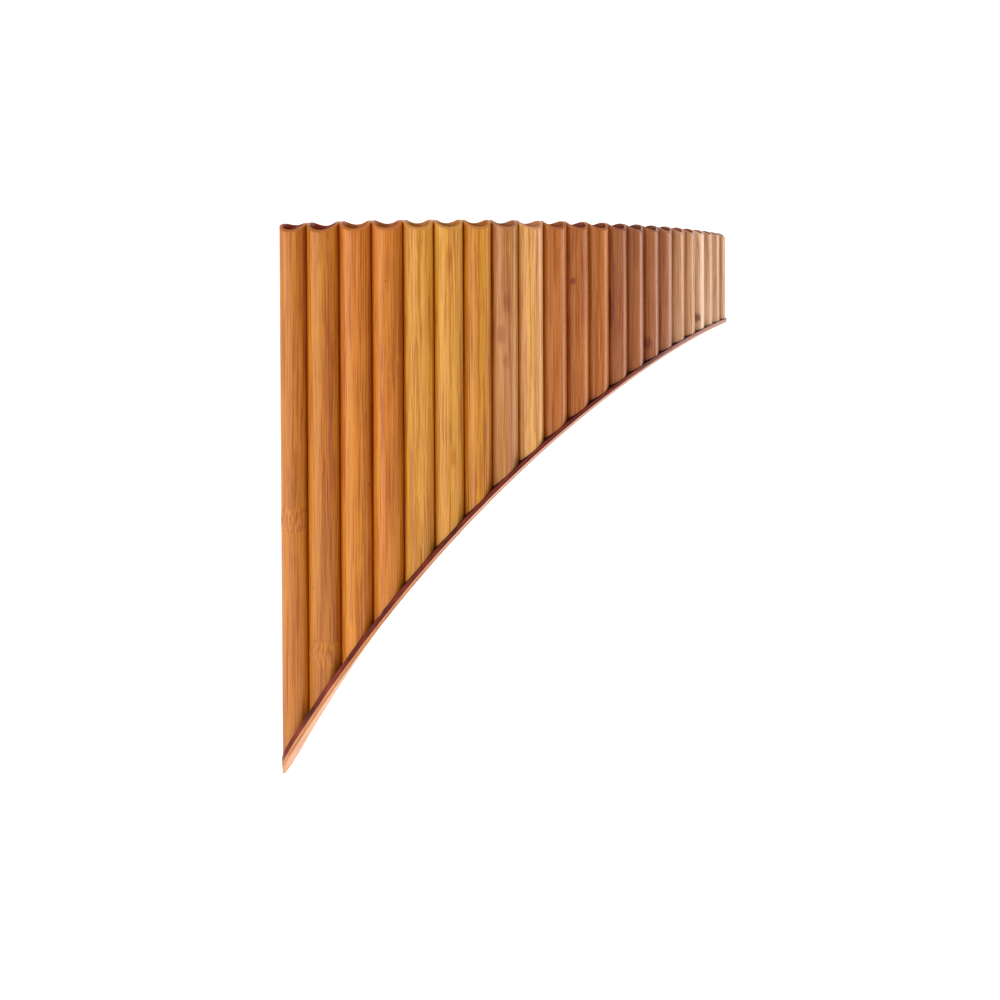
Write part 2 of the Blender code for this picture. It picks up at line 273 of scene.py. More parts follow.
def foot_depth(angle):
    """Depth of the feet below the crest: one cubic, set by its depth and slope at the end pipes."""
    t = (angle - PIPE_ANGLES[0]) * ARC_RADIUS / ROW_LENGTH
    return (
        FIRST_LENGTH * (2 * t ** 3 - 3 * t ** 2 + 1) + LAST_LENGTH * (3 * t ** 2 - 2 * t ** 3)
        - FIRST_SLOPE * ROW_LENGTH * (t ** 3 - 2 * t ** 2 + t)
        - LAST_SLOPE * ROW_LENGTH * (t ** 3 - t ** 2))


def foot_slope(angle):
    """Rise of the foot line for each unit along the arc, towards the treble."""
    t = (angle - PIPE_ANGLES[0]) * ARC_RADIUS / ROW_LENGTH
    return (
        (FIRST_LENGTH - LAST_LENGTH) * 6 * (t - t ** 2) / ROW_LENGTH
        + FIRST_SLOPE * (3 * t ** 2 - 4 * t + 1) + LAST_SLOPE * (3 * t ** 2 - 2 * t))


def half_width(angle):
    """Pipe radius under a straight grading, which the mouths and the base strip follow."""
    share = (angle - PIPE_ANGLES[1]) / (PIPE_ANGLES[-1] - PIPE_ANGLES[1])
    return (SECOND_DIAMETER + (LAST_DIAMETER - SECOND_DIAMETER) * share) / 2


def crest_line(angle):
    """Height of the crest along the row: level in the middle, lower by a cubic towards the ends."""
    share = np.clip(angle / PIPE_ANGLES[-1], -1, 1)
    return np.where(share < 0, BASS_DROP, -TREBLE_DROP) * share ** 3


def crest_height(offset, radius):
    """Height of the filed mouth at a distance behind the pipe centres: two curves from one crest."""
    share = offset / radius - CREST_SETBACK
    front = -FRONT_FALL * (np.maximum(-share, 0) / (1 + CREST_SETBACK)) ** 1.6
    back = -BACK_FALL * (np.maximum(share, 0) / (1 - CREST_SETBACK)) ** 2
    return radius * (front + back)


def arc_point(angle, offset, height):
    """A point at an angle along the arc, offset behind the pipe centres, in the model's frame."""
    reach = ARC_RADIUS - offset
    return np.stack(np.broadcast_arrays(
        reach * np.sin(angle) + ARC_SHIFT[0], ARC_RADIUS - reach * np.cos(angle) + ARC_SHIFT[1],
        height + cad_high.z), axis=-1)


def arc_place(points):
    """Angle along the arc and offset behind the pipe centres of points in the model's frame."""
    x = points[..., 0] - ARC_SHIFT[0]
    y = ARC_RADIUS + ARC_SHIFT[1] - points[..., 1]
    return np.arctan2(x, y), ARC_RADIUS - np.hypot(x, y)


def glue_flats(number):
    """Directions, in a pipe's own frame, of the flats planed on it towards its neighbours."""
    flats = []
    if number < PIPE_COUNT:
        flats.append((PIPE_ANGLES[number] - PIPE_ANGLES[number - 1]) / 2)
    if number > 1:
        flats.append(math.pi - (PIPE_ANGLES[number - 1] - PIPE_ANGLES[number - 2]) / 2)
    return flats


NODE_RIDGE = 0.0030                    # half height of the ridge
SCAR_BELOW, SCAR_HEIGHT = 0.0016, 0.0005
SCAR_SHARE = 0.35                      # depth of the scar, as a share of the ridge


def node_swell(heights, nodes):
    """Sum over the cane's joints of a low ridge with a sharp scar line just under it."""
    total = np.zeros_like(heights)
    for level, height in nodes:
        away = (heights - level) / NODE_RIDGE
        scar = (heights - level + SCAR_BELOW) / SCAR_HEIGHT
        total += height * np.exp(-away ** 2) - SCAR_SHARE * height * np.exp(-scar ** 2)
    return total


def make_pipe(number, nodes):
    """Rows run up the outside, over the filed rim, down the bore and across the slanted foot.

    Outside, a point lies at the pipe's radius, cut back to the glue flats. The rim and the foot are
    where that wall meets the crest and foot surfaces, with a small round on each edge of the rim.
    """
    angle = PIPE_ANGLES[number - 1]
    centre = arc_point(angle, 0.0, 0.0)
    radius = diameter(number) / 2
    bore = radius - wall(number)
    turn = np.linspace(0, 2 * math.pi, PIPE_COLUMNS, endpoint=False) - math.pi / 2
    reach = np.full(PIPE_COLUMNS, radius - PIPE_SANDING)
    seam = np.zeros(PIPE_COLUMNS)
    for flat in glue_flats(number):
        facing = np.cos(turn - flat)
        limit = flat_distance(number) - HAIR
        reach = np.where(facing * reach > limit, limit / np.maximum(facing, 0.1), reach)
        seam = np.maximum(seam, np.clip((facing - SEAM_FROM) / (1 - SEAM_FROM), 0, 1))

    def across(distance):
        """Points in plan at a distance from the pipe's axis, at each column."""
        side, behind = distance * np.cos(turn), distance * np.sin(turn)
        return (
            centre[0] + side * math.cos(angle) - behind * math.sin(angle),
            centre[1] + side * math.sin(angle) + behind * math.cos(angle))

    def crest_at(distance):
        """Height of the filed mouth over those points."""
        x, y = across(distance)
        place, offset = arc_place(np.stack([x, y], axis=-1))
        return crest_line(place) + crest_height(offset, half_width(place)) + cad_high.z

    def foot_at(distance):
        """Height of the sawn foot under those points."""
        x, y = across(distance)
        place, _ = arc_place(np.stack([x, y], axis=-1))
        return -foot_depth(place) + cad_high.z - HALF_GLUE

    lining = np.full(PIPE_COLUMNS, bore)
    outer_top, outer_foot = crest_at(reach) - EDGE_ROUND, foot_at(reach)
    inner_top, inner_foot = crest_at(lining) - EDGE_ROUND, foot_at(lining)
    level = outer_foot.max() + RIM_MARGIN
    rim = outer_top.min() - RIM_MARGIN
    rows = []
    for share in np.linspace(0, 1, FOOT_ROWS, endpoint=False):
        rows.append((reach, outer_foot + (level - outer_foot) * share, 0.0))
    for height in np.linspace(level, rim, max(LEAST_ROWS, int((rim - level) / ROW_SPACING)), endpoint=False):
        rows.append((reach, np.full(PIPE_COLUMNS, height), 0.0))
    for share in np.linspace(0, 1, RIM_ROWS):
        rows.append((reach, rim + (outer_top - rim) * share, 0.0))
    for part in np.linspace(1 / ROUND_STEPS, 1, ROUND_STEPS) * math.pi / 2:
        inset = EDGE_ROUND * (1 - math.cos(part))
        rows.append((reach - inset, outer_top + EDGE_ROUND * math.sin(part), 0.5))
    middle = (reach + bore) / 2
    rows.append((middle, crest_at(middle), 0.5))
    for part in np.linspace(1, 1 / ROUND_STEPS, ROUND_STEPS) * math.pi / 2:
        inset = EDGE_ROUND * (1 - math.cos(part))
        rows.append((lining + inset, inner_top + EDGE_ROUND * math.sin(part), 0.5))
    for share in np.linspace(0, 1, BORE_ROWS) ** 2:
        rows.append((lining, inner_top + (inner_foot - inner_top) * share, 1.0))
    points = np.empty((len(rows), PIPE_COLUMNS, 3))
    for index, (distance, height, inside) in enumerate(rows):
        swell = node_swell(height - cad_high.z, nodes) * (1 - seam) if inside == 0.0 else 0.0
        x, y = across(distance + swell)
        points[index] = np.stack([x, y, height], axis=-1)
    piece = surface(f"bamboo_{number:02d}", points, wrap_rows=True, wrap_round=True)
    inside = np.repeat([row[2] for row in rows], PIPE_COLUMNS)
    beside = np.tile(seam, len(rows))
    for name, values in (("inside", inside), ("seam", beside)):
        layer = piece.data.attributes.new(name, "FLOAT", "POINT")
        layer.data.foreach_set("value", values.astype(np.float32))
    return piece


# The cane's own joints: level from the crest, and how far the ridge stands out.
PIPE_NODES = {
    1: [(-0.1485, 0.00022)],
    2: [(-0.2140, 0.00020)],
}
# Marks on the cane: how far round it from the front in degrees, level from the crest, half width,
# half height, and the share of each colour that is left.
PIPE_MARKS = {
    2: [(-68.0, -0.1815, 0.0006, 0.0006, (0.62, 0.45, 0.35))],
    3: [(28.0, -0.1305, 0.0006, 0.0009, (0.60, 0.42, 0.32))],
    4: [(-28.0, -0.0310, 0.0006, 0.0006, (0.62, 0.45, 0.35))],
    6: [
        (-20.0, -0.0200, 0.0022, 0.0090, (0.80, 0.62, 0.40)),
        (-5.0, -0.1180, 0.0020, 0.0060, (0.84, 0.70, 0.50))],
    8: [
        (-12.0, -0.0420, 0.0030, 0.0060, (0.80, 0.70, 0.62)),
        (-40.0, -0.0570, 0.0026, 0.0060, (0.80, 0.66, 0.56)),
        (-16.0, -0.0700, 0.0024, 0.0050, (0.84, 0.74, 0.66))],
    11: [(-40.0, -0.0302, 0.0019, 0.0022, (0.50, 0.30, 0.20))],
    13: [(-50.0, -0.0440, 0.0024, 0.0130, (0.66, 0.52, 0.44))],
    15: [(-32.0, -0.0605, 0.0036, 0.0040, (0.60, 0.38, 0.34))],
    19: [(-22.0, -0.0468, 0.0034, 0.0030, (0.36, 0.25, 0.22))],
}
# Cane is picked by colour: the bass pipes are amber and golden, the middle ones brown, the treble pale.
# Each shade is given with the record's finish for it.
CANE_SHADES = {
    "amber": ((0.46, 0.155, 0.015), "bamboo_honey"),
    "orange": ((0.52, 0.17, 0.015), "bamboo_amber"),
    "golden": ((0.60, 0.28, 0.035), "bamboo_honey"),
    "honey": ((0.55, 0.22, 0.02), "bamboo_honey"),
    "tan": ((0.47, 0.20, 0.06), "bamboo_tan"),
    "straw": ((0.66, 0.33, 0.12), "bamboo_honey"),
    "russet": ((0.42, 0.13, 0.02), "bamboo_amber"),
    "brown": ((0.33, 0.10, 0.025), "bamboo_tan"),
    "dun": ((0.38, 0.14, 0.05), "bamboo_tan"),
    "fawn": ((0.49, 0.23, 0.09), "bamboo_pale"),
    "cream": ((0.69, 0.44, 0.24), "bamboo_pale"),
    "pale": ((0.57, 0.32, 0.17), "bamboo_pale"),
}
PIPE_SHADES = (
    "amber", "amber", "orange", "orange", "golden", "golden", "honey", "tan", "straw", "russet", "russet",
    "russet", "brown", "brown", "brown", "dun", "fawn", "fawn", "cream", "pale", "pale", "pale",
)


GRAIN_SWAY = 0.0009                    # how far the fibres wander sideways
SWAY_SCALE = 45.0
SEED_STEP = 0.37                       # keeps one pipe's grain from repeating the next one's
GOLDEN_SHIFT = (1.0, 1.0, 0.55)
ROSY_SHIFT = (0.94, 0.86, 1.0)
DRIFT_TINT = (0.80, 0.70, 0.62)
SPECK_TINT = (0.62, 0.45, 0.35)
# Painted shade on a pipe's sides in the creases with the next pipes, as shares of its colour.
CREASE_SHADE_TINT = (1.0, 0.78, 0.60)
RIM_TINT = (0.92, 0.82, 0.95)
# Painted shade down the bore, as shares of the cane's colour, for the bass, middle and treble pipes.
BASS_BORE_SHADE, MIDDLE_BORE_SHADE, TREBLE_BORE_SHADE = (0.60, 0.16, 0.30), (0.88, 0.70, 0.74), (0.62, 0.32, 0.24)
MIDDLE_BORE_SHADE_FROM, TREBLE_BORE_SHADE_FROM = 3, 11
BASS_HUE_SHIFT, TREBLE_HUE_SHIFT, TREBLE_HUE_FROM = 0.85, 0.35, 10
BASS_COAT, TREBLE_COAT, TREBLE_COAT_FROM = 0.20, 0.50, 14
RING_HALF_HEIGHT, RING_FADE, RING_RAGGED = 0.0061, 0.0010, 0.004


def shaded(colour, shares):
    """A colour with each of its parts held back or raised by its own share."""
    return (*(part * share for part, share in zip(colour, shares)), 1.0)


def remap(tree, value, start, end, low=0.0, high=1.0):
    """A value's change from start to end, made into a change from low to high and held level past both."""
    return put(tree, "ShaderNodeMapRange", **{
        "Value": value, "From Min": start, "From Max": end, "To Min": low, "To Max": high}).outputs["Result"]


def mixed(tree, amount, first, second, blend="MIX"):
    """Two colours mixed by an amount, or the first multiplied by the second by that amount."""
    settings = {"data_type": "RGBA", "blend_type": blend}
    return put(tree, "ShaderNodeMix", settings, i0=amount, i6=first, i7=second).outputs[2]


def ramped(tree, value, *stops):
    """Colours blended along a value, from stops of a position and a colour, in rising order."""
    node = put(tree, "ShaderNodeValToRGB", Fac=value)
    elements = node.color_ramp.elements
    for element, (position, colour) in zip(elements, (stops[0], stops[-1])):
        element.position, element.color = position, (*colour[:3], 1.0)
    for position, colour in stops[1:-1]:
        elements.new(position).color = (*colour[:3], 1.0)
    return node.outputs["Color"]


def scaled_sum(tree, value, factor, added):
    """A value times a factor, plus another value."""
    total = put(tree, "ShaderNodeMath", {"operation": "MULTIPLY_ADD"}, i0=value, i1=factor, i2=added)
    return total.outputs["Value"]


def bumped(tree, shader, height, strength, distance):
    """Fine relief from a height."""
    relief = put(tree, "ShaderNodeBump", Height=height, Strength=strength, Distance=distance)
    tree.links.new(relief.outputs["Normal"], shader.inputs["Normal"])


def node_ring(tree, colour, tone, level, place, dashes):
    """A band of short upright dashes round the pipe at a joint of the cane, with ragged edges."""
    height = put(tree, "ShaderNodeSeparateXYZ", Vector=place).outputs["Z"]
    away = put(
        tree, "ShaderNodeMath", {"operation": "SUBTRACT"}, i0=scaled_sum(tree, dashes, RING_RAGGED, height),
        i1=cad_high.z + level + RING_RAGGED / 2)
    size = put(tree, "ShaderNodeMath", {"operation": "ABSOLUTE"}, i0=away.outputs[0])
    band = remap(
        tree, size.outputs[0], RING_HALF_HEIGHT + RING_FADE / 2, RING_HALF_HEIGHT - RING_FADE / 2, 0.0, 0.9)
    flecks = ramped(
        tree, dashes, (0.43, shaded(tone, (0.70, 0.53, 0.40))), (0.57, shaded(tone, (1.15, 1.22, 1.45))))
    return mixed(tree, band, colour, flecks)


def stain(tree, colour, number, place, specks, mark):
    """A ragged oval stain on a pipe's face."""
    turned_by, level, mark_width, mark_height, tint = mark
    around, radius = math.radians(turned_by), diameter(number) / 2
    axis = arc_point(PIPE_ANGLES[number - 1], 0.0, 0.0)
    centre = (
        axis[0] + radius * math.sin(around), axis[1] - radius * math.cos(around), cad_high.z + level)
    away = put(tree, "ShaderNodeVectorMath", {"operation": "SUBTRACT"}, i0=place, i1=centre)
    sized = put(
        tree, "ShaderNodeVectorMath", {"operation": "MULTIPLY"}, i0=away.outputs[0],
        i1=(1 / mark_width, 1 / mark_width, 1 / mark_height))
    length = put(tree, "ShaderNodeVectorMath", {"operation": "LENGTH"}, i0=sized.outputs[0])
    ragged = scaled_sum(tree, specks, 0.9, length.outputs["Value"])
    return mixed(tree, remap(tree, ragged, 1.50, 0.85), colour, (*tint, 1.0), "MULTIPLY")


def bamboo(number, tone, nodes, marks):
    """Oiled cane: long fibres in three tones, drifting slowly, with darker end grain and painted crease and
    bore shade.
    """
    made, tree, shader = new_material(f"bamboo_{number:02d}")
    place = put(tree, "ShaderNodeTexCoord").outputs["Object"]
    axis = arc_point(PIPE_ANGLES[number - 1], 0.0, 0.0)
    sway = put(tree, "ShaderNodeTexNoise", Vector=place, Scale=SWAY_SCALE, Detail=1.0).outputs["Color"]
    centred = put(tree, "ShaderNodeVectorMath", {"operation": "SUBTRACT"}, i0=sway, i1=(0.5, 0.5, 0.5))
    wandering = put(
        tree, "ShaderNodeVectorMath", {"operation": "MULTIPLY_ADD"},
        i0=centred.outputs[0], i1=(GRAIN_SWAY, GRAIN_SWAY, 0.0), i2=place)

    def noise(stretch, scale, detail, rough, seed):
        """Noise drawn out along the pipe: stretch is how fine it is that way, next to across."""
        shifted = put(
            tree, "ShaderNodeMapping", Vector=wandering.outputs[0],
            Location=(number * SEED_STEP + seed - axis[0], -axis[1], 0.0), Scale=(1.0, 1.0, stretch))
        return put(
            tree, "ShaderNodeTexNoise", Vector=shifted.outputs["Vector"], Scale=scale, Detail=detail,
            Roughness=rough).outputs["Fac"]

    bands = noise(0.030, 260.0, 1.0, 0.5, 0.05)
    streaks = noise(0.018, 1150.0, 2.0, 0.65, 0.0)
    fibres = noise(0.012, 2100.0, 2.0, 0.65, 0.11)
    drift = noise(0.35, 55.0, 2.0, 0.5, 0.23)
    specks = noise(0.35, 900.0, 3.0, 0.6, 0.31)
    hue = noise(0.035, 170.0, 1.0, 0.5, 0.53)
    grain = scaled_sum(tree, streaks, 0.50, scaled_sum(tree, fibres, 0.60, 0.0))
    colour = ramped(
        tree, scaled_sum(tree, bands, 0.30, grain), (0.59, shaded(tone, (0.70, 0.52, 0.46))), (0.70, tone),
        (0.81, shaded(tone, (1.14, 1.30, 1.65))))
    colour = mixed(tree, remap(tree, drift, 0.50, 0.75, 0.0, 0.75), colour, (*DRIFT_TINT, 1.0), "MULTIPLY")
    golden_or_rosy = ramped(tree, hue, (0.40, GOLDEN_SHIFT), (0.60, ROSY_SHIFT))
    hue_shift = BASS_HUE_SHIFT if number < TREBLE_HUE_FROM else TREBLE_HUE_SHIFT
    colour = mixed(tree, hue_shift, colour, golden_or_rosy, "MULTIPLY")
    colour = mixed(tree, remap(tree, specks, 0.70, 0.80, 0.0, 0.6), colour, (*SPECK_TINT, 1.0), "MULTIPLY")
    # Painted shade: the sides that face the next pipes, in the creases, are made darker and redder.
    seam = put(tree, "ShaderNodeAttribute", {"attribute_name": "seam"}).outputs["Fac"]
    colour = mixed(tree, remap(tree, seam, 0.0, 1.0, 0.0, 0.85), colour, (*CREASE_SHADE_TINT, 1.0), "MULTIPLY")
    inside = put(tree, "ShaderNodeAttribute", {"attribute_name": "inside"}).outputs["Fac"]
    colour = mixed(tree, remap(tree, inside, 0.1, 0.5), colour, shaded(tone, RIM_TINT))
    # Painted shade: the bore below the rim is made darker, most of all in the first two pipes.
    lining = BASS_BORE_SHADE
    if number >= MIDDLE_BORE_SHADE_FROM:
        lining = MIDDLE_BORE_SHADE if number < TREBLE_BORE_SHADE_FROM else TREBLE_BORE_SHADE
    colour = mixed(tree, remap(tree, inside, 0.6, 1.0), colour, shaded(tone, lining))
    for level, _ in nodes:
        colour = node_ring(tree, colour, tone, level, place, noise(0.09, 1700.0, 2.0, 0.6, 0.43))
    for mark in marks:
        colour = stain(tree, colour, number, place, specks, mark)
    tree.links.new(colour, shader.inputs["Base Color"])
    tree.links.new(remap(tree, fibres, 0.0, 1.0, 0.28, 0.50), shader.inputs["Roughness"])
    bumped(tree, shader, grain, 0.35, 0.00025)
    shader.inputs["Specular IOR Level"].default_value = 0.30
    shader.inputs["Coat Weight"].default_value = BASS_COAT if number < TREBLE_COAT_FROM else TREBLE_COAT
    shader.inputs["Coat Roughness"].default_value = 0.14
    return made


for number in range(1, PIPE_COUNT + 1):
    nodes = PIPE_NODES.get(number, [])
    shade, slot = CANE_SHADES[PIPE_SHADES[number - 1]]
    pipe = make_pipe(number, nodes)
    pipe.data.materials.append(bamboo(number, shade, nodes, PIPE_MARKS.get(number, [])))
    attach(pipe, "root")
    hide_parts(f"tube_{number:02d}")


# ---- Glue lines --------------------------------------------------------------------------------------
# The dark hide glue that squeezed out between two pipes and dried in the crease, front and back. Under the
# slanted feet the top of the base strip is painted dark: a glue stain together with painted shade where the
# feet sit on it.
BEAD_COLUMNS = 9
BEAD_ROWS = 40
BEAD_HALF_WIDTH = 0.00016              # at a pipe radius of BEAD_RADIUS, and less in a smaller crease
BEAD_RADIUS = 0.008
BEAD_HOLLOW = 0.00016
BEAD_ROOT = 0.4                        # where it starts, as a share of the way out to the flats' edges
BEAD_BELOW_MOUTH = 0.0006
HIDE_GLUE = (0.230, 0.026, 0.005)
CAP_EDGE = math.radians(35)            # edges sharper than this stay crisp


def bead_points(joint, front):
    """A thin web from the glue flats to where the crease is this wide, with a hollow outer face."""
    angle = JOINT_ANGLES[joint]
    radius = half_width(angle)
    near = math.sqrt(2 * radius * FLAT_DEPTH) * BEAD_ROOT
    width = BEAD_HALF_WIDTH * math.sqrt(radius / BEAD_RADIUS)
    out = math.sqrt(2 * radius * (FLAT_DEPTH + width))
    sides = np.linspace(-1, 1, BEAD_COLUMNS)
    hollow = out - BEAD_HOLLOW * (1 - sides ** 2)
    loop_side = np.concatenate([sides * width, [0.0]])
    loop_out = np.concatenate([hollow, [near]])
    direction = -1.0 if front else 1.0
    offset = direction * loop_out
    place = angle + loop_side / ARC_RADIUS
    top = crest_line(place) + crest_height(offset, radius) - BEAD_BELOW_MOUTH
    bottom = -foot_depth(place) - HALF_GLUE * 0.5
    share = np.linspace(0, 1, BEAD_ROWS)[:, None]
    grid = arc_point(place, offset, bottom + (top - bottom) * share)
    return grid if front else grid[:, ::-1]


def close_ends(piece, columns):
    """Caps the first and last rows of a tube-like grid."""
    count = len(piece.data.vertices)
    vertices = [tuple(v.co) for v in piece.data.vertices]
    faces = [tuple(p.vertices) for p in piece.data.polygons]
    faces.append(tuple(reversed(range(columns))))
    faces.append(tuple(range(count - columns, count)))
    piece.data.clear_geometry()
    piece.data.from_pydata(vertices, [], faces)
    piece.data.shade_smooth()
    piece.data.set_sharp_from_angle(angle=CAP_EDGE)
    return piece


glue, tree, shader = new_material("hide_glue")
where = put(tree, "ShaderNodeTexCoord").outputs["Object"]
lumps = put(tree, "ShaderNodeTexNoise", Vector=where, Scale=260.0, Detail=3.0).outputs["Fac"]
lumpy = ramped(
    tree, lumps, (0.0, shaded(HIDE_GLUE, (0.5, 0.5, 0.5))), (1.0, shaded(HIDE_GLUE, (1.6, 1.6, 1.6))))
tree.links.new(lumpy, shader.inputs["Base Color"])
shader.inputs["Roughness"].default_value = 0.55
shader.inputs["Specular IOR Level"].default_value = 0.15
bumped(tree, shader, lumps, 0.4, 0.0002)

for joint in range(PIPE_COUNT - 1):
    for front, name in ((True, "glue_front"), (False, "glue_back")):
        grid = surface(f"{name}_{joint + 1:02d}", bead_points(joint, front), wrap_round=True)
        bead = close_ends(grid, BEAD_COLUMNS + 1)
        bead.data.materials.append(glue)
        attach(bead, "root")


# ---- Base strip --------------------------------------------------------------------------------------
# Two thin laminations, bent and twisted along the feet and glued there: a reddish hardwood one against
# the bamboo and a pale maple one under it. Their ends are rounded in plan about the end pipes.
STRIP_OVERHANG = 0.0009
STRIP_END_TRIM = 0.0004
STRIP_SANDING = 0.00013
DARK_BASS, DARK_TREBLE = 0.0019, 0.0011
LIGHT_BASS, LIGHT_TREBLE = 0.0017, 0.0006
STRIP_STATIONS = 420
STRIP_END_STATIONS = 12
FACE_POINTS = 9
CORNER_POINTS = 6
# Painted sheen on both strips: along X their colour goes part of the way to a paler sheen colour.
HARDWOOD_SHEEN_SPAN = (0.070, 0.112)         # from here to here along X, the hardwood's painted sheen grows towards the treble
MAPLE_SHEEN_SPAN = (-0.085, -0.030)
# A glue stain together with painted shade, for the top of the hardwood strip under the feet.
GLUE_AND_CONTACT_SHADE = (0.030, 0.005, 0.003)
STRIP_EDGE = math.radians(40)
WIDEST_CORNER = 0.45                   # a corner's radius, as a share of the strip's half width at most


def strip_stations():
    """Angles along the strip, closer together in its rounded ends, with the half width at each."""
    first, last = PIPE_ANGLES[0], PIPE_ANGLES[-1]
    angles = [np.linspace(first, last, STRIP_STATIONS)]
    shares = [np.ones(STRIP_STATIONS)]
    for centre, number, side in ((first, 1, -1), (last, PIPE_COUNT, 1)):
        radius = diameter(number) / 2
        part = np.linspace(0, math.pi / 2, STRIP_END_STATIONS + 1)[1:]
        away = (radius - STRIP_END_TRIM) * np.sin(part)
        angles.append(centre + side * away / ARC_RADIUS)
        shares.append(np.sqrt(1 - (away / radius) ** 2))
    angles, shares = np.concatenate(angles), np.concatenate(shares)
    order = np.argsort(angles)
    angles, shares = angles[order], shares[order]
    return angles, shares * (half_width(angles) + STRIP_OVERHANG) - STRIP_SANDING


def rounded_section(width, thick, corners):
    """Half width and depth round a rectangle with quarter-circle corners, from the top front corner.

    The first corner radius is for the two upper corners, the second for the two lower ones.
    """
    quarter = np.linspace(0, math.pi / 2, CORNER_POINTS)
    flat = np.linspace(-1, 1, FACE_POINTS)[1:-1]
    sides, depths = [], []
    for k in range(4):
        turn = quarter + math.pi * (1 - k / 2)
        sign_side = (-1, 1, 1, -1)[k]
        sign_depth = (0, 0, 1, 1)[k]
        corner = corners[sign_depth]
        sides.append(sign_side * (width - corner) + corner * np.cos(turn))
        depths.append(sign_depth * thick + (1 - 2 * sign_depth) * corner - corner * np.sin(turn))
        if k == 0:
            sides.append(flat * (width - corner))
            depths.append(np.zeros_like(flat))
        if k == 2:
            sides.append(-flat * (width - corner))
            depths.append(np.full_like(flat, thick))
    return np.concatenate(sides), np.concatenate(depths)


def strip_surface(name, top, thick, corner_shares):
    """Upright sections across the arc, each a rounded rectangle.

    A section is deeper where the strip is steeper, so that the strip is as thick as asked square to
    its own slope. The map's first number runs along the strip and its second across it.
    """
    angles, widths = strip_stations()
    share = (angles - angles[0]) / (angles[-1] - angles[0])
    stretch = np.hypot(1.0, foot_slope(angles))
    points, uv = [], []
    lengths = np.diff(angles) * ARC_RADIUS * (stretch[1:] + stretch[:-1]) / 2
    along = np.concatenate([[0.0], np.cumsum(lengths)])
    for k, angle in enumerate(angles):
        body = thick(share[k])
        corners = [min(corner_share * body, widths[k] * WIDEST_CORNER) for corner_share in corner_shares]
        side, depth = rounded_section(widths[k], body, corners)
        height = -foot_depth(angle) - (top(share[k]) + depth) * stretch[k]
        points.append(arc_point(angle, side, height))
        uv.append(np.stack([np.full(len(side) + 1, along[k]), np.append(side, side[0])], axis=-1))
    piece = surface(name, np.array(points), wrap_round=True, uv=np.array(uv))
    return piece, points[0].shape[0]


def cap_strip(piece, columns):
    """Closes both ends of a strip without losing its map."""
    mesh = piece.data
    count = len(mesh.vertices)
    shape = bmesh.new()
    shape.from_mesh(mesh)
    shape.verts.ensure_lookup_table()
    shape.faces.new([shape.verts[k] for k in reversed(range(columns))])
    shape.faces.new([shape.verts[k] for k in range(count - columns, count)])
    bmesh.ops.recalc_face_normals(shape, faces=shape.faces)
    shape.to_mesh(mesh)
    shape.free()
    mesh.shade_smooth()
    mesh.set_sharp_from_angle(angle=STRIP_EDGE)
    return piece


def strip_wood(name, dark, mid, light, sheen, sheen_along, rough, coat):
    """Straight-grained veneer: fine lines along the strip over a broad drift, made paler along X by a
    painted sheen.
    """
    made, tree, shader = new_material(name)
    along = put(tree, "ShaderNodeUVMap", {"uv_map": "along"}).outputs["UV"]
    where = put(tree, "ShaderNodeTexCoord").outputs["Object"]
    both = put(tree, "ShaderNodeSeparateXYZ", Vector=where)
    run = put(tree, "ShaderNodeSeparateXYZ", Vector=along)
    spot = put(tree, "ShaderNodeCombineXYZ", X=run.outputs["X"], Y=run.outputs["Y"], Z=both.outputs["Z"])
    stretched = put(tree, "ShaderNodeMapping", Vector=spot.outputs["Vector"], Scale=(0.05, 1.0, 0.05))
    veins = put(
        tree, "ShaderNodeTexNoise", Vector=stretched.outputs["Vector"], Scale=1500.0, Detail=3.0)
    grain = veins.outputs["Fac"]
    broad = put(tree, "ShaderNodeTexNoise", Vector=where, Scale=90.0, Detail=2.0).outputs["Fac"]
    lines = scaled_sum(tree, broad, 0.3, scaled_sum(tree, grain, 0.7, 0.0))
    colour = ramped(tree, lines, (0.35, dark), (0.5, mid), (0.66, light))
    # Painted sheen: the colour goes towards the pale sheen colour along X.
    sheen_share = remap(tree, both.outputs["X"], *sheen_along, 0.0, 0.75)
    tree.links.new(mixed(tree, sheen_share, colour, (*sheen, 1.0)), shader.inputs["Base Color"])
    shader.inputs["Roughness"].default_value = rough
    shader.inputs["Specular IOR Level"].default_value = 0.18
    shader.inputs["Coat Weight"].default_value = coat
    shader.inputs["Coat Roughness"].default_value = 0.25
    bumped(tree, shader, grain, 0.3, 0.0002)
    return made


def dark_top(_):
    """Depth of the upper layer's top below the foot line: the same all the way to the treble."""
    return HALF_GLUE + HAIR


def dark_thick(share):
    """The upper layer thins evenly, and takes its half of the glue lines above and below it."""
    return DARK_BASS + (DARK_TREBLE - DARK_BASS) * share + 2 * HALF_GLUE - 2 * HAIR


def light_top(share):
    """Depth of the lower layer's top below the foot line."""
    return 3 * HALF_GLUE + DARK_BASS + (DARK_TREBLE - DARK_BASS) * share + HAIR


def light_thick(share):
    """The lower layer thins evenly, and takes its half of the glue line above it."""
    return LIGHT_BASS + (LIGHT_TREBLE - LIGHT_BASS) * share + HALF_GLUE - HAIR


dark_strip, columns = strip_surface("hardwood_strip", dark_top, dark_thick, (0.04, 0.03))
cap_strip(dark_strip, columns)
# The hardwood's fourth colour is its painted sheen.
dark_strip.data.materials.append(strip_wood(
    "oiled_hardwood", (0.060, 0.005, 0.002), (0.15, 0.015, 0.007), (0.25, 0.038, 0.018),
    (0.50, 0.26, 0.21), HARDWOOD_SHEEN_SPAN, 0.34, 0.08))
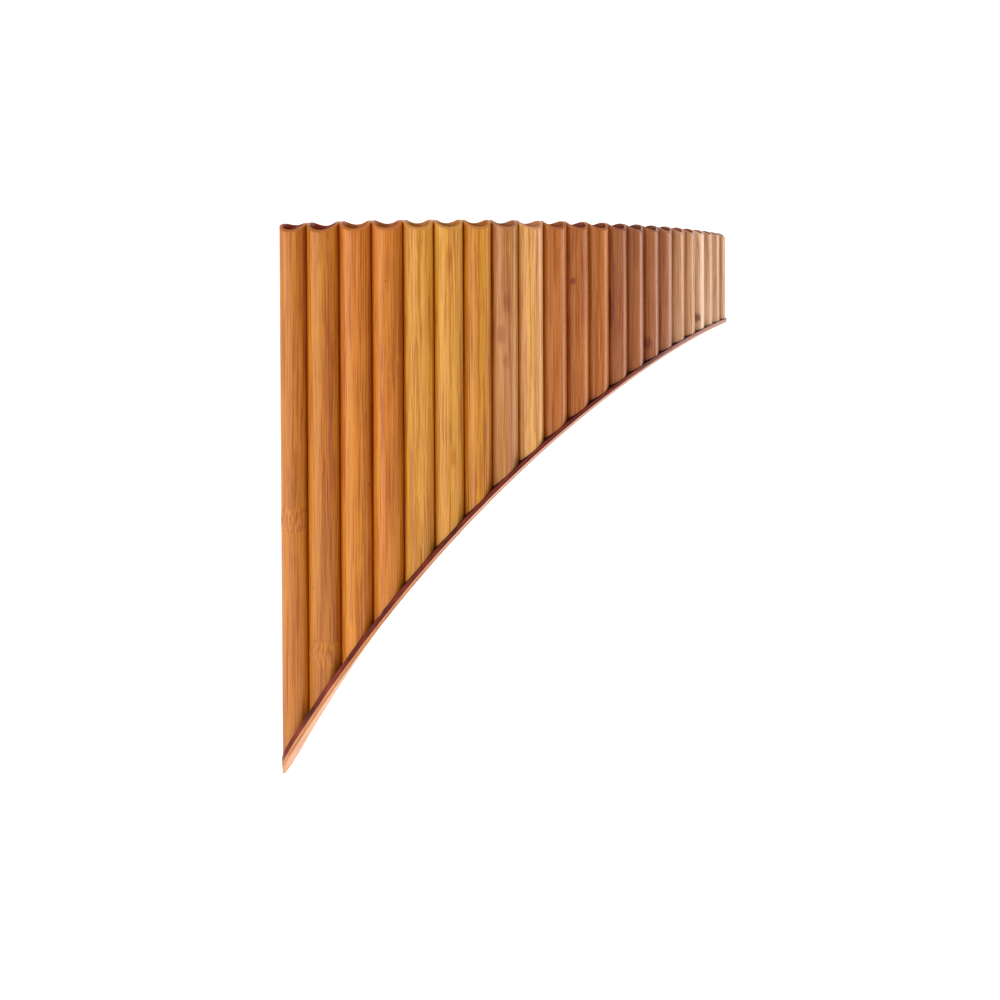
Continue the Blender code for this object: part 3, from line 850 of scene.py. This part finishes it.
# Painted shade: the top faces of the hardwood strip, where the feet sit, are made nearly black, for the dark
# contact line under the feet together with a glue stain.
contact_shade, tree, shader = new_material("glue_and_shade_hardwood")
where = put(tree, "ShaderNodeTexCoord").outputs["Object"]
smear = put(tree, "ShaderNodeTexNoise", Vector=where, Scale=420.0, Detail=3.0).outputs["Fac"]
smeared = ramped(
    tree, smear, (0.0, shaded(GLUE_AND_CONTACT_SHADE, (0.5, 0.5, 0.5))), (1.0, shaded(GLUE_AND_CONTACT_SHADE, (2.0, 2.0, 2.0))))
tree.links.new(smeared, shader.inputs["Base Color"])
shader.inputs["Roughness"].default_value = 0.6
shader.inputs["Specular IOR Level"].default_value = 0.15
bumped(tree, shader, smear, 0.4, 0.0002)
dark_strip.data.materials.append(contact_shade)
# Faces run round each section from its top front corner, and the top ones follow that corner; they take the
# glue stain and painted contact shade.
section = np.arange(len(dark_strip.data.polygons)) % columns
on_top = (section >= CORNER_POINTS - 2) & (section < CORNER_POINTS + FACE_POINTS)
dark_strip.data.polygons.foreach_set("material_index", on_top.astype(np.int32))
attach(dark_strip, "root")
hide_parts("base_dark_strip")

light_strip, columns = strip_surface("maple_strip", light_top, light_thick, (0.03, 0.30))
cap_strip(light_strip, columns)
# The maple's fourth colour is its painted sheen.
light_strip.data.materials.append(strip_wood(
    "oiled_maple", (0.44, 0.17, 0.060), (0.60, 0.26, 0.105), (0.70, 0.35, 0.17),
    (0.76, 0.48, 0.37), MAPLE_SHEEN_SPAN, 0.42, 0.1))
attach(light_strip, "root")
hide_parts("base_light_strip")


# ---- Stoppers ----------------------------------------------------------------------------------------
# A cork in each pipe, pushed down until its top sets the note, with a thin disc of beeswax pressed on
# it for fine tuning.
STOPPER_COLUMNS = 48
CORK_CHAMFER = 0.0006
CORK_CLEARANCE = 0.00002
WAX_DEPTH = 0.0007
WAX_RADII = np.array([1.0, 1.0, 0.97, 0.90, 0.75, 0.5, 0.25])      # of the bore, from the cork up
WAX_RISES = np.array([0.0, 1.9, 1.55, 1.25, 1.08, 1.0, 1.0])       # of the depth: pressed up at the wall


def turned(name, axis, radii, heights):
    """A profile of radii and heights turned about an upright axis, closed flat at both ends."""
    turn = np.linspace(0, 2 * math.pi, STOPPER_COLUMNS, endpoint=False)
    radii, heights = np.array(radii), np.array(heights)
    grid = np.stack([
        axis[0] + radii[:, None] * np.cos(turn), axis[1] + radii[:, None] * np.sin(turn),
        np.broadcast_to(heights[:, None], (len(radii), STOPPER_COLUMNS))], axis=-1)
    return close_ends(surface(name, grid, wrap_round=True), STOPPER_COLUMNS)


cork, tree, shader = new_material("cork")
where = put(tree, "ShaderNodeTexCoord").outputs["Object"]
cells = put(tree, "ShaderNodeTexVoronoi", Vector=where, Scale=1400.0).outputs["Distance"]
pits = put(tree, "ShaderNodeTexNoise", Vector=where, Scale=500.0, Detail=4.0).outputs["Fac"]
pitted = ramped(tree, pits, (0.38, (0.20, 0.10, 0.045)), (0.60, (0.52, 0.32, 0.17)))
tree.links.new(pitted, shader.inputs["Base Color"])
shader.inputs["Roughness"].default_value = 0.85
bumped(tree, shader, cells, 0.5, 0.0003)

wax, tree, shader = new_material("beeswax")
where = put(tree, "ShaderNodeTexCoord").outputs["Object"]
smears = put(tree, "ShaderNodeTexNoise", Vector=where, Scale=350.0, Detail=3.0).outputs["Fac"]
waxy = ramped(tree, smears, (0.0, (0.48, 0.27, 0.07)), (1.0, (0.72, 0.50, 0.18)))
tree.links.new(waxy, shader.inputs["Base Color"])
shader.inputs["Roughness"].default_value = 0.42
bumped(tree, shader, smears, 0.4, 0.0002)

for number in range(1, PIPE_COUNT + 1):
    low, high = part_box(f"cork_{number:02d}")
    axis = arc_point(PIPE_ANGLES[number - 1], 0.0, 0.0)
    bore = diameter(number) / 2 - wall(number)
    body = bore - CORK_CLEARANCE
    stopper = turned(
        f"stopper_{number:02d}", axis, [body - CORK_CHAMFER, body, body, body - CORK_CHAMFER],
        [low.z, low.z + CORK_CHAMFER, high.z - CORK_CHAMFER, high.z])
    stopper.data.materials.append(cork)
    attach(stopper, "root")
    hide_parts(f"cork_{number:02d}")
    disc = turned(f"wax_{number:02d}", axis, body * WAX_RADII, high.z + HAIR + WAX_DEPTH * WAX_RISES)
    disc.data.materials.append(wax)
    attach(disc, "root")
